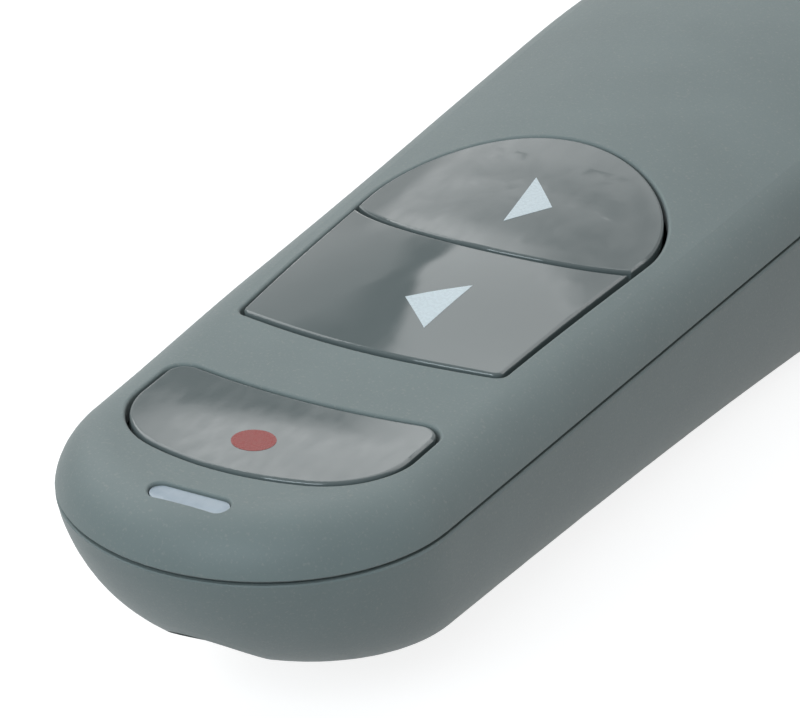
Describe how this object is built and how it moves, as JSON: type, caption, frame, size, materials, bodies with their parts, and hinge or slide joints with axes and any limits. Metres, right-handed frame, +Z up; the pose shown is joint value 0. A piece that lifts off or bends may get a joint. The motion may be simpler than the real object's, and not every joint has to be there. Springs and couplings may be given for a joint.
{
  "type": "wireless presentation clicker",
  "caption": "Long rounded wireless presentation clicker with a flat glossy button row, a laser opening under the nose, a sliding battery cover and a receiver in the tail.",
  "frame": {"origin": "middle of the case's plan, on the surface that the underside rests on", "axes": "+Z up, +Y from the nose to the tail, X across the case"},
  "size_m": [0.038, 0.124, 0.0271],
  "materials": {
    "soft_shell": "fine-grained soft-touch",
    "gloss_button": "polished",
    "clear_window": "polished, slightly blue",
    "lens_glass": "clear",
    "dark_plastic": "satin",
    "brass": "turned",
    "steel": "bright",
    "board": "solder mask",
    "ceramic": "unglazed",
    "cell_skin": "printed film over a metal can",
    "gold": "plated"
  },
  "bodies": {
    "housing": {"top_shell": "soft_shell", "lower_shell": "soft_shell", "light_pipe": "clear_window", "laser_bezel": "dark_plastic", "laser_lens": "lens_glass", "laser_barrel": "brass", "laser_diode": "steel", "circuit_board": "board", "laser_switch": "dark_plastic", "next_switch": "dark_plastic", "previous_switch": "dark_plastic", "status_light": "clear_window", "microcontroller": "dark_plastic", "radio_chip": "dark_plastic", "crystal_can": "steel", "antenna": "ceramic", "battery_one": "cell_skin", "battery_two": "cell_skin", "battery_plates": "steel", "battery_springs": "steel", "power_switch": "dark_plastic", "case_screws": "steel", "board_screws": "steel"},
    "laser": {"laser_button": "gloss_button", "laser_plunger": "dark_plastic"},
    "next": {"next_button": "gloss_button", "next_plunger": "dark_plastic"},
    "previous": {"previous_button": "gloss_button", "previous_plunger": "dark_plastic"},
    "cover": {"battery_cover": "soft_shell"},
    "receiver": {"receiver_cap": "soft_shell", "receiver_plug": "steel", "receiver_tongue": "dark_plastic", "receiver_contacts": "gold"},
    "power": {"power_knob": "dark_plastic"}
  },
  "joints": [
    {"name": "laser_press", "type": "slide", "parent": "housing", "child": "laser", "axis": [0, 0, -1], "range_m": [0, 0.0005], "stiffness_N_per_m": 400},
    {"name": "next_press", "type": "slide", "parent": "housing", "child": "next", "axis": [0, 0, -1], "range_m": [0, 0.0005], "stiffness_N_per_m": 400},
    {"name": "previous_press", "type": "slide", "parent": "housing", "child": "previous", "axis": [0, 0, -1], "range_m": [0, 0.0005], "stiffness_N_per_m": 400},
    {"name": "cover_slide", "type": "slide", "parent": "housing", "child": "cover", "axis": [0, 1, 0], "range_m": [0, 0.006]},
    {"name": "receiver_pull", "type": "slide", "parent": "housing", "child": "receiver", "axis": [0, 1, 0], "range_m": [0, 0.03]},
    {"name": "power_slide", "type": "slide", "parent": "housing", "child": "power", "axis": [0, 1, 0], "range_m": [0, 0.002]}
  ]
}
